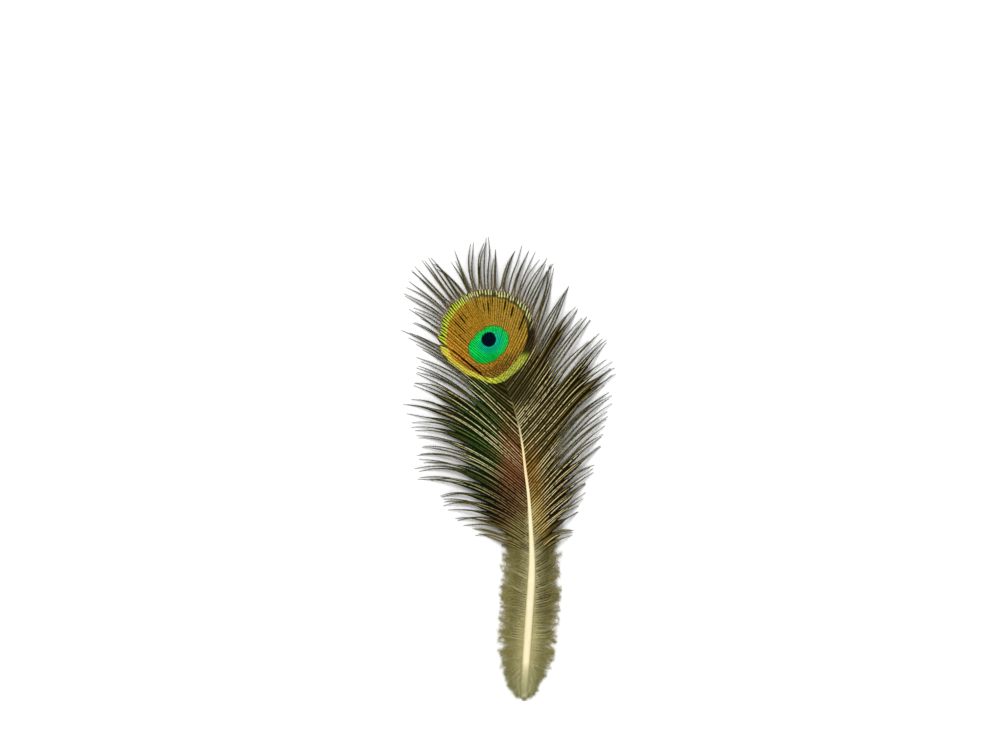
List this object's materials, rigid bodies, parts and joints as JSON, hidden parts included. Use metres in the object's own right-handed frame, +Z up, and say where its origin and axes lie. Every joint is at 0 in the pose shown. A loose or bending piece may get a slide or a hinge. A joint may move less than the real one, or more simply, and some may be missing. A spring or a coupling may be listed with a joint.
{
  "type": "peacock feather",
  "caption": "Short peacock eye feather lying face up: pale curved shaft, down at the base, loose bronze-green barbs and one round eye.",
  "frame": {"origin": "middle of the feather's outline seen from above, on the surface it lies on", "axes": "+Y towards the tip of the feather, +Z up out of its face, +X towards the right-hand vane seen from above with the quill nearest"},
  "size_m": [0.069, 0.1496, 0.0068],
  "materials": {
    "vane": "bronze-green barbs with a silky, iridescent sheen",
    "shaft": "ivory horn, satin",
    "down": "grey-olive down, matt and fluffy"
  },
  "bodies": {
    "root": {"feather": "vane"}
  },
  "joints": []
}
